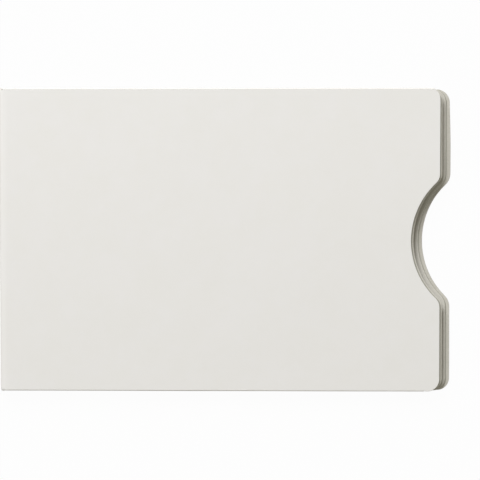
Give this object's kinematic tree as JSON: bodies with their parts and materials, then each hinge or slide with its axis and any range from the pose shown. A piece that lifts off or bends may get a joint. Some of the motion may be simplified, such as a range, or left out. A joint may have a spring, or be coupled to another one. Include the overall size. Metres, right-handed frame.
{
  "type": "rfid card sleeve",
  "caption": "Flat folded paper sleeve for a bank card, lined with foil, closed on three sides, with a round thumb notch at its open end.",
  "frame": {"origin": "middle of the sleeve's length and width, on the surface that it lies on", "axes": "+X towards the open end with the thumb notch, +Y across the card, +Z out of the plain front face; the sleeve lies on its back"},
  "size_m": [0.089, 0.06, 0.0024],
  "materials": {
    "outer_paper": "matte",
    "foil": "satin",
    "liner_paper": "matte",
    "glue": "satin"
  },
  "bodies": {
    "root": {"front_panel": "outer_paper", "back_panel": "outer_paper", "end_fold": "outer_paper", "top_fold": "outer_paper", "bottom_fold": "outer_paper", "top_glue_flap": "outer_paper", "bottom_glue_flap": "outer_paper", "foil_shield": "foil", "inner_liner": "liner_paper", "top_glue_line": "glue", "bottom_glue_line": "glue"}
  },
  "joints": []
}
